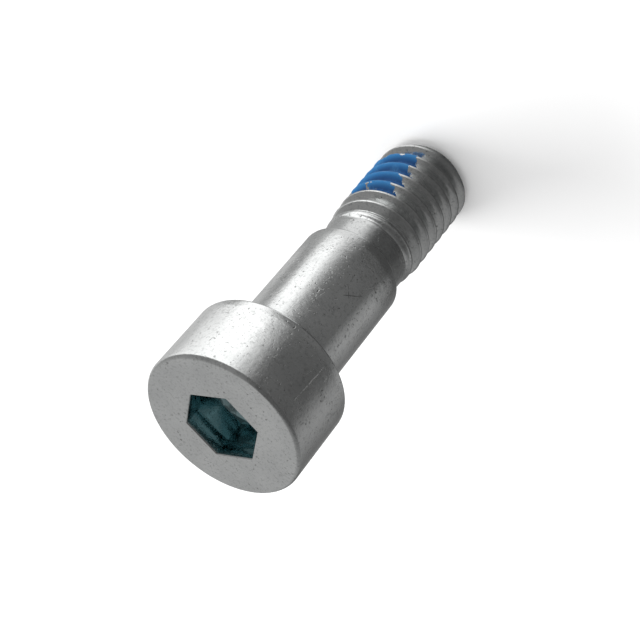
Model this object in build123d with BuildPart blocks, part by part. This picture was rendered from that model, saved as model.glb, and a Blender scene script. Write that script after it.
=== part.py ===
"""M6 shoulder bolt: cylindrical head with a hexagon socket, plain shoulder and rolled thread.

A film of polyamide, sprayed on one side of the thread, locks it in its nut or tapped hole.
The origin is the centre of the bearing face under the head. The head points to +Z, and the
bolt stands on the flat end of its thread. Two corners of the socket lie on the X axis.
"""
from build123d import *
from math import atan, ceil, cos, degrees, pi, radians, sin, tan
import os

# Head
head_diameter = 9.6
head_height = 5.0
head_top_rounding = 0.3
head_rim_chamfer = 0.22

# Hexagon socket
socket_width = 4.0  # across flats
socket_depth = 2.5  # down to the edge of the conical floor
socket_floor_angle = 120.0  # included angle of the cone that the punch leaves
mouth_flare = 0.06  # how much each flat opens out at the mouth
mouth_depth = 0.3

# Shoulder
shoulder_diameter = 6.3
shoulder_length = 9.3
shoulder_root_chamfer = 0.15
shoulder_end_chamfer = 0.28

# Thread, M6 x 1, right-handed, rolled onto a blank that still shows at the neck
thread_diameter = 5.97
thread_pitch = 1.0
thread_angle = 60.0  # between the flanks
thread_length = 9.8  # from the end of the shoulder to the tip, with the neck
thread_start = 22.0  # degrees from the X axis to where a crest meets the plane of the tip
neck_depth = 0.27  # from the crests down to the neck
neck_length = 1.3
run_out_length = 2.0  # over which the thread rises from the neck to its full height
tip_chamfer_width = 0.5
tip_chamfer_length = 0.6
tip_rounding = 0.12

# Thread-locking patch
patch_offset = 1.15  # from the tip to the patch's lower end
patch_length = 4.6
patch_angle = 150.0
patch_middle = 12.0  # degrees from the X axis
patch_film = 0.05  # thickness over the crests
patch_fill_depth = 0.33  # from the crests down to the filled valleys

# Radii and heights that follow from the sizes
head_radius = head_diameter / 2
socket_radius = socket_width / 2
shoulder_radius = shoulder_diameter / 2
crest_radius = thread_diameter / 2
neck_radius = crest_radius - neck_depth
shoulder_end = -shoulder_length
tip = shoulder_end - thread_length
neck_end = shoulder_end - neck_length
run_out_end = neck_end - run_out_length

# The thread's section is a sharp V, cut off an eighth of the pitch wide at the crest and, as the
# standard has it for external threads, after 17/24 of the V's height at the root
flank = radians(thread_angle / 2)
sharp_height = thread_pitch / 2 / tan(flank)
crest_half = thread_pitch / 16
root_radius = crest_radius - 17 / 24 * sharp_height
sink = thread_pitch / 20  # how far a ridge's foot goes into what carries it


def axial_plane(angle):
    """The plane through the bolt's axis at an angle from the X axis, with Z upwards in it."""
    turn = radians(angle)
    return Plane(origin=(0, 0, 0), x_dir=(cos(turn), sin(turn), 0), z_dir=(sin(turn), -cos(turn), 0))


def ridge_turn(film, foot_radius):
    """One turn of the thread's ridge, thickened all over by a film, from the X axis at Z = 0."""
    top_radius = crest_radius + film
    top_half = crest_half + film * tan((pi / 2 - flank) / 2)
    foot_half = top_half + (top_radius - foot_radius) * tan(flank)
    with BuildLine() as crest_line:
        Helix(pitch=thread_pitch, height=thread_pitch, radius=crest_radius)
    with BuildPart() as turn:
        with BuildSketch(Plane.XZ):
            with BuildLine():
                Polyline(
                    (foot_radius, -foot_half),
                    (top_radius, -top_half),
                    (top_radius, top_half),
                    (foot_radius, foot_half),
                    close=True,
                )
            make_face()
        sweep(path=crest_line.line, is_frenet=True)
    return turn.part


# Threaded end, with its tip at Z = 0: a core with turn upon turn of the ridge around it, turned
# down towards the neck and at the tip
bare_turn = ridge_turn(film=0, foot_radius=root_radius - sink)
thread_height = neck_end - tip
turn_count = ceil(thread_height / thread_pitch) + 2
turn_starts = [(0, 0, thread_pitch * (turn - 1)) for turn in range(turn_count)]
envelope_top = thread_height + thread_pitch / 2
with BuildPart() as threaded_end:
    with BuildSketch(Plane.XY.offset(-thread_pitch)):
        Circle(root_radius)
    extrude(amount=turn_count * thread_pitch, dir=(0, 0, 1))
    with Locations(turn_starts):
        add(bare_turn)
    with BuildSketch(Plane.XZ):
        with BuildLine():
            FilletPolyline(
                (0, 0),
                (crest_radius - tip_chamfer_width, 0),
                (crest_radius, tip_chamfer_length),
                (crest_radius, thread_height - run_out_length),
                (neck_radius - neck_depth / run_out_length * thread_pitch / 2, envelope_top),
                (0, envelope_top),
                radius=[tip_rounding, 0, 0, 0],
            )
            Line((0, envelope_top), (0, 0))
        make_face()
    revolve(axis=Axis.Z, mode=Mode.INTERSECT)

# Shoulder bolt, with a step left at the neck whatever the end chamfer is
end_chamfer = min(shoulder_end_chamfer, 0.9 * (shoulder_radius - neck_radius))
with BuildPart() as shoulder_bolt:
    with BuildSketch(Plane.XZ):
        with BuildLine():
            FilletPolyline(
                (0, head_height),
                (head_radius, head_height),
                (head_radius, head_rim_chamfer),
                (head_radius - head_rim_chamfer, 0),
                (shoulder_radius + shoulder_root_chamfer, 0),
                (shoulder_radius, -shoulder_root_chamfer),
                (shoulder_radius, shoulder_end + end_chamfer),
                (shoulder_radius - end_chamfer, shoulder_end),
                (neck_radius, shoulder_end),
                (neck_radius, neck_end),
                (root_radius - sink, run_out_end),
                (0, run_out_end),
                radius=[head_top_rounding, 0, 0, 0, 0, 0, 0, 0, 0, 0],
            )
            Line((0, run_out_end), (0, head_height))
        make_face()
    revolve(axis=Axis.Z)
    with Locations((0, 0, tip)):
        add(threaded_end.part, rotation=(0, 0, thread_start))
    with BuildSketch(Plane.XY.offset(head_height)):
        RegularPolygon(radius=socket_radius, side_count=6, major_radius=False)
    extrude(amount=-socket_depth, mode=Mode.SUBTRACT)
    with BuildSketch(Plane.XY.offset(head_height)):
        RegularPolygon(radius=socket_radius + mouth_flare, side_count=6, major_radius=False)
    flare_taper = degrees(atan(mouth_flare / mouth_depth))
    extrude(amount=-mouth_depth, taper=flare_taper, mode=Mode.SUBTRACT)
    floor_depth = socket_radius / tan(radians(socket_floor_angle / 2))
    with Locations((0, 0, head_height - socket_depth)):
        Cone(
            bottom_radius=0,
            top_radius=socket_radius,
            height=floor_depth,
            align=(Align.CENTER, Align.CENTER, Align.MAX),
            mode=Mode.SUBTRACT,
        )

# Thread-locking patch: fills the valleys and coats the crests on one side of the thread
patch_low = tip + patch_offset
fill_radius = crest_radius - patch_fill_depth
patch_side = axial_plane(patch_middle - patch_angle / 2)
coated_turn = ridge_turn(film=patch_film, foot_radius=fill_radius - sink)
with BuildPart() as coated_crests:
    with Locations((0, 0, tip)):
        with Locations(turn_starts):
            add(coated_turn, rotation=(0, 0, thread_start))
    with BuildSketch(patch_side):
        with Locations((0, patch_low)):
            Rectangle(head_radius, patch_length, align=(Align.MIN, Align.MIN))
    revolve(axis=Axis.Z, revolution_arc=patch_angle, mode=Mode.INTERSECT)
with BuildPart() as thread_locking_patch:
    with BuildSketch(patch_side):
        with Locations((root_radius - sink, patch_low)):
            Rectangle(fill_radius - root_radius + sink, patch_length, align=(Align.MIN, Align.MIN))
    revolve(axis=Axis.Z, revolution_arc=patch_angle)
    add(coated_crests.part)
    add(shoulder_bolt.part, mode=Mode.SUBTRACT)

shoulder_bolt.part.label = "shoulder_bolt"
thread_locking_patch.part.label = "thread_locking_patch"

os.makedirs("parts", exist_ok=True)
export_step(shoulder_bolt.part, "parts/shoulder_bolt.step")
export_step(thread_locking_patch.part, "parts/thread_locking_patch.step")
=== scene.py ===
"""Shoulder bolt in bright zinc plating with a blue thread-locking patch, standing on its tip.

The row frame is in metres. The meshes below are laid out in millimetres, in the same frame:
the origin is the centre of the bearing face under the head, and the head points to +Z.
"""
import math

import bpy
import numpy as np
from mathutils import Matrix, Vector, noise


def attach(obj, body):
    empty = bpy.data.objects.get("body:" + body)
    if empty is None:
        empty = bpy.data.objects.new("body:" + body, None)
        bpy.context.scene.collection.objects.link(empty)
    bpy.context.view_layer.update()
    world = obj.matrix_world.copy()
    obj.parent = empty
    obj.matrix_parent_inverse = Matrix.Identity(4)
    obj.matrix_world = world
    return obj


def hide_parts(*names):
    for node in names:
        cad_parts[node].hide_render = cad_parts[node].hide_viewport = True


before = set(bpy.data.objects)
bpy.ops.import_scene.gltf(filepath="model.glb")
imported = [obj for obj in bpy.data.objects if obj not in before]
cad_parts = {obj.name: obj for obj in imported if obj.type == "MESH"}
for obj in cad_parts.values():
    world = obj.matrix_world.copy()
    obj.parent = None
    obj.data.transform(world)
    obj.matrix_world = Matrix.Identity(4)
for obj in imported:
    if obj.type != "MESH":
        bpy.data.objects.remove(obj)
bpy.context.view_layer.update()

MM = 0.001
COLUMNS = 240  # round the axis, a multiple of six so that the socket's corners fall on columns

# Head and socket
HEAD_R = 4.8
HEAD_TOP = 5.0
TOP_ROUNDING = 0.32
RIM = 0.22
SOCKET = 2.0  # from the axis to a flat
SOCKET_FLOOR = 2.5  # from the head's top down to the edge of the conical floor
FLOOR_ANGLE = 120.0  # included angle of that cone
LEAD_IN = 0.92  # from the head's top down to where the punch's lead-in ends
LEAD_IN_GAP = 0.022  # how much wider the socket is above that step
MOUTH = 2.06
MOUTH_ROUNDING = 0.09

# Shoulder and neck
SHOULDER_R = 3.15
SHOULDER_ROOT = 0.15  # radius between the head and the shoulder
SHOULDER_END = -9.3
NECK_R = 2.715
NECK_END = -10.6

# Thread
CREST_R = 2.985
ROOT_R = 2.385
PITCH = 1.0
START = 22.0  # degrees from the X axis to where a crest meets the plane of the tip
RUN_OUT = 2.0
TIP = -19.1
TIP_R = 2.485
TIP_CHAMFER = 0.6
TIP_HOLLOW = 0.08

# Patch
PATCH_LOW, PATCH_HIGH = -17.95, -13.35
PATCH_FROM, PATCH_TO = -63.0, 87.0
PATCH_FILM = 0.05  # thickness over the crests
PATCH_FILL = 2.655  # radius of the filled valleys
PATCH_REACH = 3.033  # no part of the patch is further out
PATCH_INNER = 0.06  # how far the patch's inner skin lies inside the steel
PATCH_HIDDEN = 0.04  # how far its outer skin lies inside the steel where the patch is worn away
PATCH_BLEND = 0.09  # rounding where the film over a crest meets the filled valley

# Camera, at the photo's angle and roll
LENS, SENSOR = 87.06, 36.0
CAMERA_AT = (14.174, -66.828, 50.378)
CAMERA_RIGHT = (-0.67092, -0.55461, -0.49221)
CAMERA_UP = (0.72264, -0.34018, -0.60172)
CAMERA_BACK = (0.16628, -0.75940, 0.62902)
CAMERA_SIDE = -77.65  # degrees from the X axis to the camera

# Light
DAYLIGHT = 0.95
KEY_FROM = (64, 58)  # degrees: direction from the X axis, and above the floor
KEY_AWAY, KEY_WIDTH, KEY_WATTS = 0.3, 0.14, 0.45
AIMED_AT = (0, 0, -0.007)
MIDDLE_AT, FAR_AT = 0.0150, 0.0275  # distances on the floor where the next ring of painted reflection begins

# How far the thread's surface lies below its crests, by distance from a crest, both in pitches
PROFILE = [
    (0.0, 0.0),
    (0.05, 0.008),
    (0.1, 0.036),
    (0.15, 0.09),
    (0.2, 0.17),
    (0.26, 0.274),
    (0.32, 0.378),
    (0.38, 0.48),
    (0.43, 0.552),
    (0.47, 0.59),
    (0.5, 0.6),
]


# ---------------------------------------------------------------------------- shapes


def thread_drop(phase):
    """Depth of the thread below its crests at a phase, where whole numbers are crests."""
    away = np.abs(phase - np.round(phase))
    return np.interp(away, [u for u, _ in PROFILE], [d for _, d in PROFILE])


def thread_radius(angle, z):
    """The bare thread's radius at an angle in degrees and a height."""
    phase = (z - TIP) / PITCH - (angle - START) / 360
    rise = np.clip((NECK_END - z) / RUN_OUT, 0, 1)
    crest = NECK_R + (CREST_R - NECK_R) * rise
    root = NECK_R + (ROOT_R - NECK_R) * rise
    depth = thread_drop(phase) / PROFILE[-1][1]
    radius = crest - (crest - root) * depth
    chamfer = TIP_R + (z - TIP) * (CREST_R - TIP_R) / TIP_CHAMFER
    return smaller(radius, chamfer, 0.05)


def smaller(a, b, blend):
    """The smaller of two values, with the corner between them rounded."""
    h = np.clip(0.5 + 0.5 * (b - a) / blend, 0, 1)
    return b + (a - b) * h - blend * h * (1 - h)


def thread_rows(low, high):
    """Phases of the rows that follow the thread, in pitches from TIP at the start angle."""
    steps = [u for u, _ in PROFILE]
    one_turn = steps[:-1] + [1 - u for u in reversed(steps)][:-1]
    first, last = math.floor(low) - 2, math.ceil(high) + 2
    return [turn + u for turn in range(last, first - 1, -1) for u in reversed(one_turn)]


def around(radius, angle, z):
    """The point at a distance from the axis, an angle in degrees and a height."""
    turn = math.radians(angle)
    return radius * math.cos(turn), radius * math.sin(turn), z


def hexagon(angle, flat):
    """Distance from the axis to a hexagon with corners at multiples of 60 degrees."""
    return flat / np.cos(np.radians(np.mod(angle, 60) - 30))


def arc(centre_r, centre_z, radius, start, end, steps):
    """Points (r, z) on an arc in a plane through the axis."""
    angles = np.radians(np.linspace(start, end, steps + 1))
    return [(centre_r + radius * math.cos(a), centre_z + radius * math.sin(a)) for a in angles]


def line(first, last, steps):
    """Points (r, z) after the first and up to the last of a straight run."""
    parts = np.linspace(0, 1, steps + 1)[1:]
    return [
        (first[0] + (last[0] - first[0]) * t, first[1] + (last[1] - first[1]) * t) for t in parts
    ]


def new_object(name, points, faces, smooth_angle=math.radians(38)):
    mesh = bpy.data.meshes.new(name)
    mesh.from_pydata([tuple(MM * c for c in p) for p in points], [], faces)
    mesh.validate()
    mesh.shade_smooth()
    mesh.set_sharp_from_angle(angle=smooth_angle)
    made = bpy.data.objects.new(name, mesh)
    bpy.context.scene.collection.objects.link(made)
    return made


class Rings:
    """A closed skin built of rings of points round the axis, from one pole to the other."""

    def __init__(self, columns):
        self.angles = np.arange(columns) * 360.0 / columns
        self.points = []
        self.faces = []
        self.last = None

    def pole(self, z):
        self.points.append((0.0, 0.0, z))
        pole = len(self.points) - 1
        if self.last is not None:
            self.join(self.last, [pole] * len(self.angles))
        self.last = [pole] * len(self.angles)

    def ring(self, radius, z):
        radius = np.broadcast_to(radius, self.angles.shape)
        z = np.broadcast_to(z, self.angles.shape)
        turn = np.radians(self.angles)
        made = list(range(len(self.points), len(self.points) + len(turn)))
        self.points.extend(zip(radius * np.cos(turn), radius * np.sin(turn), z))
        self.join(self.last, made)
        self.last = made

    def join(self, upper, lower):
        """Faces between two rings, where points that both share make triangles."""
        if upper is None:
            return
        count = len(upper)
        for i in range(count):
            self.face(upper[i], lower[i], lower[(i + 1) % count], upper[(i + 1) % count])

    def face(self, *corners):
        kept = []
        for corner in corners:
            if corner not in kept:
                kept.append(corner)
        if len(kept) > 2:
            self.faces.append(kept)

    def thread(self):
        """The thread as rows that follow its helix, each held between the neck and the tip."""
        known = {}
        count = len(self.angles)
        heights = []
        for phase in thread_rows(0, (NECK_END - TIP) / PITCH):
            at = TIP + PITCH * (phase + (self.angles - START) / 360)
            heights.append(np.clip(at, TIP, NECK_END))
        rows = []
        for row in heights:
            made = []
            radius = thread_radius(self.angles, row)
            for i, z in enumerate(row):
                key = (i, round(float(z), 5))
                if key not in known:
                    known[key] = len(self.points)
                    self.points.append(around(radius[i], self.angles[i], z))
                made.append(known[key])
            rows.append(made)
        self.join(self.last, rows[0])
        per_turn = 2 * (len(PROFILE) - 1)
        bottom = rows[-1]
        for j in range(len(rows) - 1):
            upper, lower = rows[j], rows[j + 1]
            for i in range(count - 1):
                self.face(upper[i], lower[i], lower[i + 1], upper[i + 1])
            # the last column meets the first one a turn further up
            over = rows[max(j - per_turn, 0)]
            under = rows[max(j + 1 - per_turn, 0)]
            self.face(upper[-1], lower[-1], under[0], over[0])
        self.last = bottom


def socket_rings(rings):
    """The socket from the middle of its floor up to its rounded mouth."""
    angles = rings.angles
    floor_z = HEAD_TOP - SOCKET_FLOOR
    floor_slope = 1 / math.tan(math.radians(FLOOR_ANGLE / 2))
    rings.pole(floor_z - SOCKET * floor_slope)
    for r in (0.12, 0.3, 0.6, 0.9, 1.2, 1.5, 1.75, 1.9, 1.965):
        rings.ring(r, floor_z - (SOCKET - r) * floor_slope)
    rings.ring(hexagon(angles, SOCKET), floor_z + 0.01)
    step = HEAD_TOP - LEAD_IN
    for z in (2.62, 2.9, 3.2, 3.5, 3.8, step - 0.06):
        rings.ring(hexagon(angles, SOCKET), z)
    wide = SOCKET + LEAD_IN_GAP
    for more, down in ((0, LEAD_IN), (0.002, 0.6), (0.006, 0.33), (0.012, 0.27)):
        rings.ring(hexagon(angles, wide + more), HEAD_TOP - down)
    rings.ring(hexagon(angles, MOUTH - 0.004), HEAD_TOP - MOUTH_ROUNDING)
    mouth = arc(MOUTH + MOUTH_ROUNDING, HEAD_TOP - MOUTH_ROUNDING, MOUTH_ROUNDING, 180, 90, 4)
    for r, z in mouth[1:]:
        rings.ring(hexagon(angles, r), z)


def bolt_mesh():
    rings = Rings(COLUMNS)
    socket_rings(rings)
    edge = HEAD_R - TOP_ROUNDING
    inner = hexagon(rings.angles, MOUTH + MOUTH_ROUNDING)
    for t in (0.1, 0.3, 0.55, 0.8, 0.96):
        rings.ring(inner + (edge - inner) * t, HEAD_TOP)
    side = arc(edge, HEAD_TOP - TOP_ROUNDING, TOP_ROUNDING, 90, 0, 9)
    side += line(side[-1], (HEAD_R, RIM), 10)
    side += arc(HEAD_R - RIM, RIM, RIM, 0, -90, 6)[1:]
    side += line(side[-1], (SHOULDER_R + SHOULDER_ROOT, 0.0), 4)
    side += arc(SHOULDER_R + SHOULDER_ROOT, -SHOULDER_ROOT, SHOULDER_ROOT, 90, 180, 5)[1:]
    side += line(side[-1], (SHOULDER_R, SHOULDER_END + 0.32), 16)
    side += [
        (SHOULDER_R - 0.02, SHOULDER_END + 0.24),
        (SHOULDER_R - 0.07, SHOULDER_END + 0.15),
        (SHOULDER_R - 0.16, SHOULDER_END + 0.07),
        (SHOULDER_R - 0.26, SHOULDER_END + 0.015),
        (NECK_R + 0.1, SHOULDER_END),
        (NECK_R + 0.03, SHOULDER_END - 0.03),
        (NECK_R, SHOULDER_END - 0.1),
    ]
    side += line(side[-1], (NECK_R, NECK_END + 0.12), 4)
    for r, z in side:
        rings.ring(r, z)
    rings.thread()
    for share, z in ((0.9, TIP), (0.6, TIP + 0.01), (0.3, TIP + 0.06)):
        rings.ring(TIP_R * share, z)
    rings.pole(TIP + TIP_HOLLOW)
    return new_object("bolt", rings.points, rings.faces)


def ragged(x, y, z, scale, seed):
    """Even noise between about -1 and 1 at a place in millimetres."""
    return noise.fractal(Vector((x, y, z)) * scale + Vector((seed, 0, 0)), 0.9, 2.1, 4)


def patch_radius(angle, z):
    """The patch's outer radius, with filled valleys, coated crests and a torn edge, and its inner."""
    bare = float(thread_radius(np.array([angle]), np.array([z]))[0])
    x, y, _ = around(CREST_R, angle, z)
    side = min(angle - PATCH_FROM, PATCH_TO - angle) * CREST_R * math.pi / 180
    end = min(z - PATCH_LOW, PATCH_HIGH - z)
    tear = 0.32 * ragged(x, y, z, 1.7, 3) + 0.12 * ragged(x, y, z, 6.0, 9)
    inside = min(side, end) - 0.3 + tear
    cover = min(max(inside / 0.5, -1.0), 1.0)
    lump = ragged(x, y, z, 2.4, 21)
    fill = PATCH_FILL - 0.02 + 0.05 * lump - (0.5 - 0.5 * cover) * 0.16
    film = PATCH_FILM * (0.62 + 0.3 * lump)
    phase = (z - TIP) / PITCH - (angle - START) / 360
    away = abs(phase - round(phase))
    # the film wears off the crests near the torn edge before the valleys empty
    worn = (1 - cover) * (0.05 + 0.1 * max(0.0, 1 - away / 0.16))
    coat = bare + film - worn
    body = max(fill, bare - 0.05)
    h = min(max(0.5 + 0.5 * (coat - body) / PATCH_BLEND, 0.0), 1.0)
    outer = body + (coat - body) * h + PATCH_BLEND * h * (1 - h) * 0.9
    hidden = bare - PATCH_HIDDEN
    if cover <= -0.6:
        outer = hidden
    elif cover < -0.1:
        outer = hidden + (outer - hidden) * (cover + 0.6) / 0.5
    return min(outer, PATCH_REACH), bare - PATCH_INNER


def patch_mesh():
    """A closed skin: rows along the thread on the outside, and the same rows inside the steel."""
    angles = np.arange(PATCH_FROM - 2, PATCH_TO + 2.5)
    low, high = PATCH_LOW - 0.05, PATCH_HIGH + 0.05
    points, inner, faces, known, rows = [], [], [], {}, []
    for phase in thread_rows((low - TIP) / PITCH, (high - TIP) / PITCH):
        row = []
        for i, angle in enumerate(angles):
            z = min(max(TIP + PITCH * (phase + (angle - START) / 360), low), high)
            key = (i, round(z, 5))
            if key not in known:
                known[key] = len(points)
                outer, under = patch_radius(angle, z)
                points.append(around(outer, angle, z))
                inner.append(around(under, angle, z))
            row.append(known[key])
        rows.append(row)
    for upper, lower in zip(rows, rows[1:]):
        for i in range(len(angles) - 1):
            corners = dict.fromkeys((upper[i], lower[i], lower[i + 1], upper[i + 1]))
            if len(corners) > 2:
                faces.append(list(corners))
    count = len(points)
    edges = {}
    for face in faces:
        for a, b in zip(face, face[1:] + face[:1]):
            edges[(a, b)] = (b, a)
    rim = [edge for edge, back in edges.items() if back not in edges]
    faces += [[v + count for v in reversed(face)] for face in faces]
    faces += [[b, a, a + count, b + count] for a, b in rim]
    return new_object("locking_patch", points + inner, faces, math.radians(60))


# ---------------------------------------------------------------------------- materials


class Nodes:
    """A node tree, with short calls for the nodes it is made of."""

    def __init__(self, name, owner=None):
        self.material = owner or bpy.data.materials.new(name)
        self.material.use_nodes = True
        self.tree = self.material.node_tree
        self.shader = self.tree.nodes.get("Principled BSDF")

    def add(self, kind, values=None, **settings):
        node = self.tree.nodes.new("ShaderNode" + kind)
        for name, value in settings.items():
            setattr(node, name, value)
        for name, value in (values or {}).items():
            self.put(node.inputs[name], value)
        return node

    def put(self, socket, value):
        if isinstance(value, bpy.types.NodeSocket):
            self.tree.links.new(value, socket)
        else:
            socket.default_value = value

    def set(self, **values):
        for name, value in values.items():
            self.put(self.shader.inputs[name.replace("_", " ")], value)

    def place(self):
        return self.add("TexCoord").outputs["Object"]

    def noise(self, scale, detail, roughness, where):
        values = {"Scale": scale, "Detail": detail, "Roughness": roughness, "Vector": where}
        return self.add("TexNoise", values).outputs["Fac"]

    def ramp(self, value, low, high, to_low=0.0, to_high=1.0):
        values = {"Value": value, "From Min": low, "From Max": high}
        values.update({"To Min": to_low, "To Max": to_high})
        return self.add("MapRange", values).outputs["Result"]

    def maths(self, operation, a, b=0.0):
        node = self.add("Math", operation=operation)
        self.put(node.inputs[0], a)
        self.put(node.inputs[1], b)
        return node.outputs[0]

    def axes(self, vector):
        split = self.add("SeparateXYZ", {"Vector": vector})
        return [split.outputs[axis] for axis in "XYZ"]

    def length(self, x, y):
        return self.maths("SQRT", self.maths("ADD", self.product(x, x), self.product(y, y)))

    def product(self, first, *others):
        for value in others:
            first = self.maths("MULTIPLY", first, value)
        return first

    def blend(self, share, a, b):
        """A number between a and b."""
        node = self.add("Mix", {"Factor": share}, data_type="FLOAT")
        self.put(node.inputs[2], a)
        self.put(node.inputs[3], b)
        return node.outputs[0]

    def mix(self, share, a, b):
        """A colour between a and b."""
        node = self.add("Mix", data_type="RGBA")
        self.put(node.inputs["Factor"], share)
        for socket, value in zip((6, 7), (a, b)):
            self.put(node.inputs[socket], value)
        return node.outputs[2]

    def bump(self, height, strength, distance, before=None):
        values = {"Height": height, "Strength": strength, "Distance": distance}
        if before:
            values["Normal"] = before
        return self.add("Bump", values).outputs["Normal"]


def rgb(r, g, b):
    return (r, g, b, 1.0)


# Scratches: direction from the X axis, from which height to which, slant, width and strength
SCRATCHES = [
    (-104.0, 0.7, 3.9, 0.05, 0.035, 0.8),
    (-99.5, 1.2, 2.2, 0.3, 0.025, 0.45),
    (-112.0, 0.5, 1.4, 0.12, 0.03, 0.5),
    (-92.0, 0.5, 1.1, -0.4, 0.035, 0.5),
    (-60.0, 1.4, 2.6, 0.5, 0.02, 0.35),
    (-96.0, -5.9, -4.7, 0.9, 0.035, -0.7),
    (-90.0, -5.6, -4.9, -0.7, 0.03, -0.6),
    (-104.0, -6.9, -6.1, 0.6, 0.025, 0.4),
    (-70.0, -4.3, -2.9, 0.25, 0.02, 0.3),
    (-20.0, -6.2, -5.7, 1.2, 0.05, 0.7),
    (70.0, 1.0, 2.9, 0.2, 0.03, 0.5),
    (150.0, -7.5, -4.5, -0.3, 0.025, 0.4),
]


def scratch(n, x, y, z, wobble, row):
    """A mask that is 1 along a thin mark on the side that faces one direction."""
    direction, low, high, slant, width, _ = row
    turn = math.radians(direction)
    across = n.maths("SUBTRACT", n.product(y, math.cos(turn)), n.product(x, math.sin(turn)))
    facing = n.maths("ADD", n.product(x, math.cos(turn)), n.product(y, math.sin(turn)))
    along = n.maths("SUBTRACT", z, (low + high) / 2 * MM)
    off = n.maths("ADD", n.maths("SUBTRACT", across, n.product(along, slant)), wobble)
    line_mask = n.ramp(n.maths("ABSOLUTE", off), width * MM, 0.3 * width * MM)
    ends = n.ramp(n.maths("ABSOLUTE", along), (high - low) / 2 * MM, (high - low) / 2.6 * MM)
    return n.product(line_mask, ends, n.ramp(facing, 0.0024, 0.0026))


def zinc_plating():
    n = Nodes("zinc_plating")
    where = n.place()
    x, y, z = n.axes(where)
    away = n.length(x, y)
    in_head = n.product(n.ramp(z, 0.00495, 0.0046), n.ramp(z, 0.0005, 0.001))
    socket = n.product(in_head, n.ramp(away, 0.0025, 0.0024))
    cloud = n.noise(380, 5, 0.6, where)
    grain = n.noise(5200, 3, 0.6, where)
    grime = n.noise(1300, 5, 0.65, where)
    colour = n.mix(n.ramp(cloud, 0.35, 0.65), rgb(0.66, 0.672, 0.668), rgb(0.76, 0.77, 0.765))
    colour = n.mix(n.ramp(grain, 0.52, 0.68, 0.0, 0.3), colour, rgb(0.3, 0.31, 0.31))
    specks = n.product(n.ramp(n.noise(6800, 2, 0.5, where), 0.63, 0.7), n.ramp(grime, 0.42, 0.62))
    colour = n.mix(n.product(specks, 0.75), colour, rgb(0.13, 0.13, 0.125))
    colour = n.mix(n.ramp(grime, 0.6, 0.72, 0.0, 0.35), colour, rgb(0.3, 0.31, 0.3))
    # teal tint of the passivation in the socket, and painted shade: the colour is also made darker
    # inside the recess
    colour = n.mix(n.product(socket, 0.85), colour, rgb(0.34, 0.53, 0.56))
    rough = n.ramp(n.noise(900, 4, 0.6, where), 0.3, 0.7, 0.14, 0.24)
    rough = n.maths("SUBTRACT", rough, n.product(socket, 0.1))
    wobble = n.product(n.maths("SUBTRACT", n.noise(700, 3, 0.6, where), 0.5), 0.00025)
    light = dark = 0.0
    for row in SCRATCHES:
        mask = n.product(scratch(n, x, y, z, wobble, row), abs(row[-1]))
        if row[-1] > 0:
            light = n.maths("MAXIMUM", light, mask)
        else:
            dark = n.maths("MAXIMUM", dark, mask)
    torn = n.ramp(n.noise(4200, 3, 0.6, where), 0.42, 0.55)
    light, dark = n.product(light, torn), n.product(dark, torn)
    colour = n.mix(light, colour, rgb(0.95, 0.95, 0.94))
    colour = n.mix(dark, colour, rgb(0.16, 0.16, 0.16))
    peel = n.bump(n.noise(4300, 4, 0.62, where), 0.28, 0.00003)
    dents = n.bump(n.noise(1100, 3, 0.5, where), 0.22, 0.00006, peel)
    pits = n.maths("ADD", specks, n.maths("MAXIMUM", light, dark))
    normal = n.bump(n.product(pits, -1.0), 0.6, 0.00002, dents)
    rough = n.maths("ADD", rough, n.product(light, 0.3))
    n.set(Base_Color=colour, Metallic=1.0, Roughness=rough, Normal=normal)
    return n.material


def blue_polyamide():
    n = Nodes("blue_polyamide")
    where = n.place()
    x, y, _ = n.axes(where)
    away = n.length(x, y)
    cloud = n.noise(1500, 4, 0.6, where)
    # painted shade and painted highlight: deep blue down in the valleys, lighter blue out on the
    # crests, by distance from the axis
    colour = n.mix(n.ramp(away, 0.00268, 0.00298), rgb(0.0, 0.075, 0.25), rgb(0.015, 0.17, 0.42))
    colour = n.mix(n.ramp(cloud, 0.55, 0.75, 0.0, 0.5), colour, rgb(0.08, 0.32, 0.62))
    normal = n.bump(n.noise(3500, 4, 0.6, where), 0.4, 0.00003)
    rough = n.ramp(n.noise(2500, 3, 0.5, where), 0.3, 0.7, 0.38, 0.6)
    n.set(Base_Color=colour, Roughness=rough, Normal=normal)
    return n.material


# What the plating mirrors, by direction round the bolt: degrees from the camera's side, as they run
# about the axis from the head to the tip, and how bright it is there. The three floor tables are
# painted reflections: rings of painted light and painted shade that the floor shows to mirrored rays
# only. ROOM is the world's brightness in the same directions.
# painted reflections: floor brightness seen only in the plating
FAR_PAINTED_REFLECTION = [
    (-180, 0.5), (-150, 0.62), (-126, 0.66), (-112, 0.95), (-86, 1.35), (-66, 1.62), (-40, 1.5),
    (-26, 0.8), (-12, 0.3), (-2, 0.13), (40, 0.11), (64, 0.12), (76, 0.25), (92, 0.34),
    (112, 0.26), (135, 0.16), (160, 0.25), (180, 0.5),
]
MIDDLE_PAINTED_REFLECTION = [
    (-180, 0.5), (-150, 0.58), (-124, 0.62), (-112, 0.42), (-100, 0.36), (-90, 0.6), (-78, 1.45),
    (-56, 1.5), (-44, 0.85), (-32, 0.35), (-20, 0.19), (0, 0.165), (56, 0.15), (68, 0.3),
    (86, 0.38), (104, 0.28), (130, 0.18), (160, 0.3), (180, 0.5),
]
NEAR_PAINTED_REFLECTION = [
    (-180, 0.45), (-120, 0.4), (-90, 0.5), (-70, 0.95), (-40, 0.95), (-24, 0.45), (-12, 0.16),
    (0, 0.08), (60, 0.07), (76, 0.1), (110, 0.12), (140, 0.2), (180, 0.45),
]
ROOM = [
    (-180, 0.43), (-150, 0.43), (-124, 0.3), (-84, 0.25), (-36, 0.25), (-12, 0.14), (0, 0.09),
    (68, 0.09), (92, 0.2), (130, 0.28), (152, 0.43), (180, 0.43),
]


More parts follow.
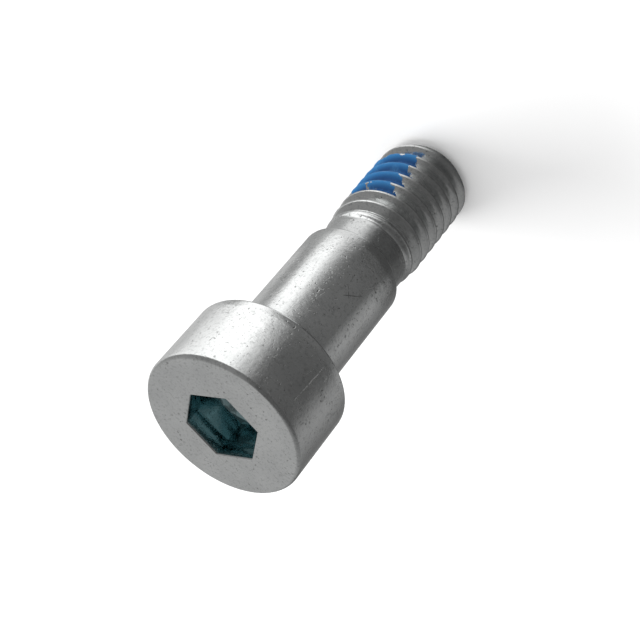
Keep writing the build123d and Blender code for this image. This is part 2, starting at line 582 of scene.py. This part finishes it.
def share_of_turn(n, x, y):
    """The direction of a point round the bolt, as a share of the turn from behind the camera."""
    turned = n.maths("SUBTRACT", math.radians(CAMERA_SIDE), n.maths("ARCTAN2", y, x))
    return n.maths("FRACT", n.maths("ADD", n.maths("DIVIDE", turned, 2 * math.pi), 1.5))


def brightness(n, share, table):
    """Brightness round the bolt, from one of the tables above."""
    ramp = n.add("ValToRGB", {"Fac": share})
    stops = ramp.color_ramp.elements
    while len(stops) < len(table):
        stops.new(0.5)
    for stop, (angle, light) in zip(stops, table):
        stop.position = (angle + 180) / 360
        stop.color = (light / 2, light / 2, light / 2, 1)
    return n.maths("MULTIPLY", ramp.outputs["Color"], 2.0)


def white_ground_painted_reflections():
    """A pale floor that keeps the bolt's shadow. For mirrored rays only, it glows with painted
    reflections: rings of painted light and painted shade round the bolt, which the plating mirrors.
    """
    n = Nodes("white_ground_painted_reflections")
    n.set(Base_Color=rgb(0.93, 0.93, 0.93), Roughness=0.9)
    x, y, _ = n.axes(n.place())
    share, away = share_of_turn(n, x, y), n.length(x, y)
    near, middle, far = (brightness(n, share, t) for t in (NEAR_PAINTED_REFLECTION, MIDDLE_PAINTED_REFLECTION, FAR_PAINTED_REFLECTION))
    light = n.blend(n.ramp(away, MIDDLE_AT, MIDDLE_AT + 0.0006), near, middle)
    light = n.blend(n.ramp(away, FAR_AT, FAR_AT + 0.0012), light, far)
    # painted reflection: this emission is seen only by mirrored rays, so the plating shows painted
    # bright bands and painted shade
    mirrored = n.add("Emission", {"Strength": light})
    mix = n.add("MixShader", {"Fac": n.add("LightPath").outputs["Is Glossy Ray"]})
    n.put(mix.inputs[1], n.shader.outputs[0])
    n.put(mix.inputs[2], mirrored.outputs[0])
    n.put(n.tree.nodes["Material Output"].inputs["Surface"], mix.outputs[0])
    return n.material


# ---------------------------------------------------------------------------- stage


def add_floor():
    bpy.ops.mesh.primitive_plane_add(size=2.0, location=(0, 0, TIP * MM))
    floor = bpy.context.object
    floor.name = "floor"
    floor.data.materials.append(white_ground_painted_reflections())


def add_key_lamp():
    """A soft square lamp that casts the shadow. The plating doesn't mirror it."""
    data = bpy.data.lights.new("key", "AREA")
    data.size = KEY_WIDTH
    data.energy = KEY_WATTS
    lamp = bpy.data.objects.new("key", data)
    a, e = (math.radians(angle) for angle in KEY_FROM)
    back = Vector((math.cos(a) * math.cos(e), math.sin(a) * math.cos(e), math.sin(e)))
    lamp.location = Vector(AIMED_AT) + back * KEY_AWAY
    lamp.rotation_mode = "QUATERNION"
    lamp.rotation_quaternion = (-back).to_track_quat("-Z", "Y")
    lamp.visible_glossy = False
    bpy.context.scene.collection.objects.link(lamp)


def add_camera():
    data = bpy.data.cameras.new("camera")
    data.lens, data.sensor_width = LENS, SENSOR
    data.clip_start, data.clip_end = 0.005, 10
    camera = bpy.data.objects.new("camera", data)
    turn = Matrix((CAMERA_RIGHT, CAMERA_UP, CAMERA_BACK)).transposed().to_4x4()
    camera.matrix_world = Matrix.Translation(Vector(CAMERA_AT) * MM) @ turn
    bpy.context.scene.collection.objects.link(camera)
    bpy.context.scene.camera = camera


def add_world():
    """Even daylight on the floor, and a dim room in what the plating mirrors."""
    world = bpy.data.worlds.new("studio")
    bpy.context.scene.world = world
    n = Nodes("studio", world)
    x, y, _ = n.axes(n.add("TexCoord").outputs["Generated"])
    light = brightness(n, share_of_turn(n, x, y), ROOM)
    background = n.tree.nodes["Background"]
    n.put(background.inputs["Color"], rgb(1, 1, 1))
    mirrored = n.add("LightPath").outputs["Is Glossy Ray"]
    n.put(background.inputs["Strength"], n.blend(mirrored, DAYLIGHT, light))


bolt = bolt_mesh()
bolt.data.materials.append(zinc_plating())
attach(bolt, "root")
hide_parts("shoulder_bolt")

patch = patch_mesh()
patch.data.materials.append(blue_polyamide())
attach(patch, "root")
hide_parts("thread_locking_patch")

add_floor()
add_key_lamp()
add_world()
add_camera()
bpy.context.scene.view_settings.view_transform = "Standard"
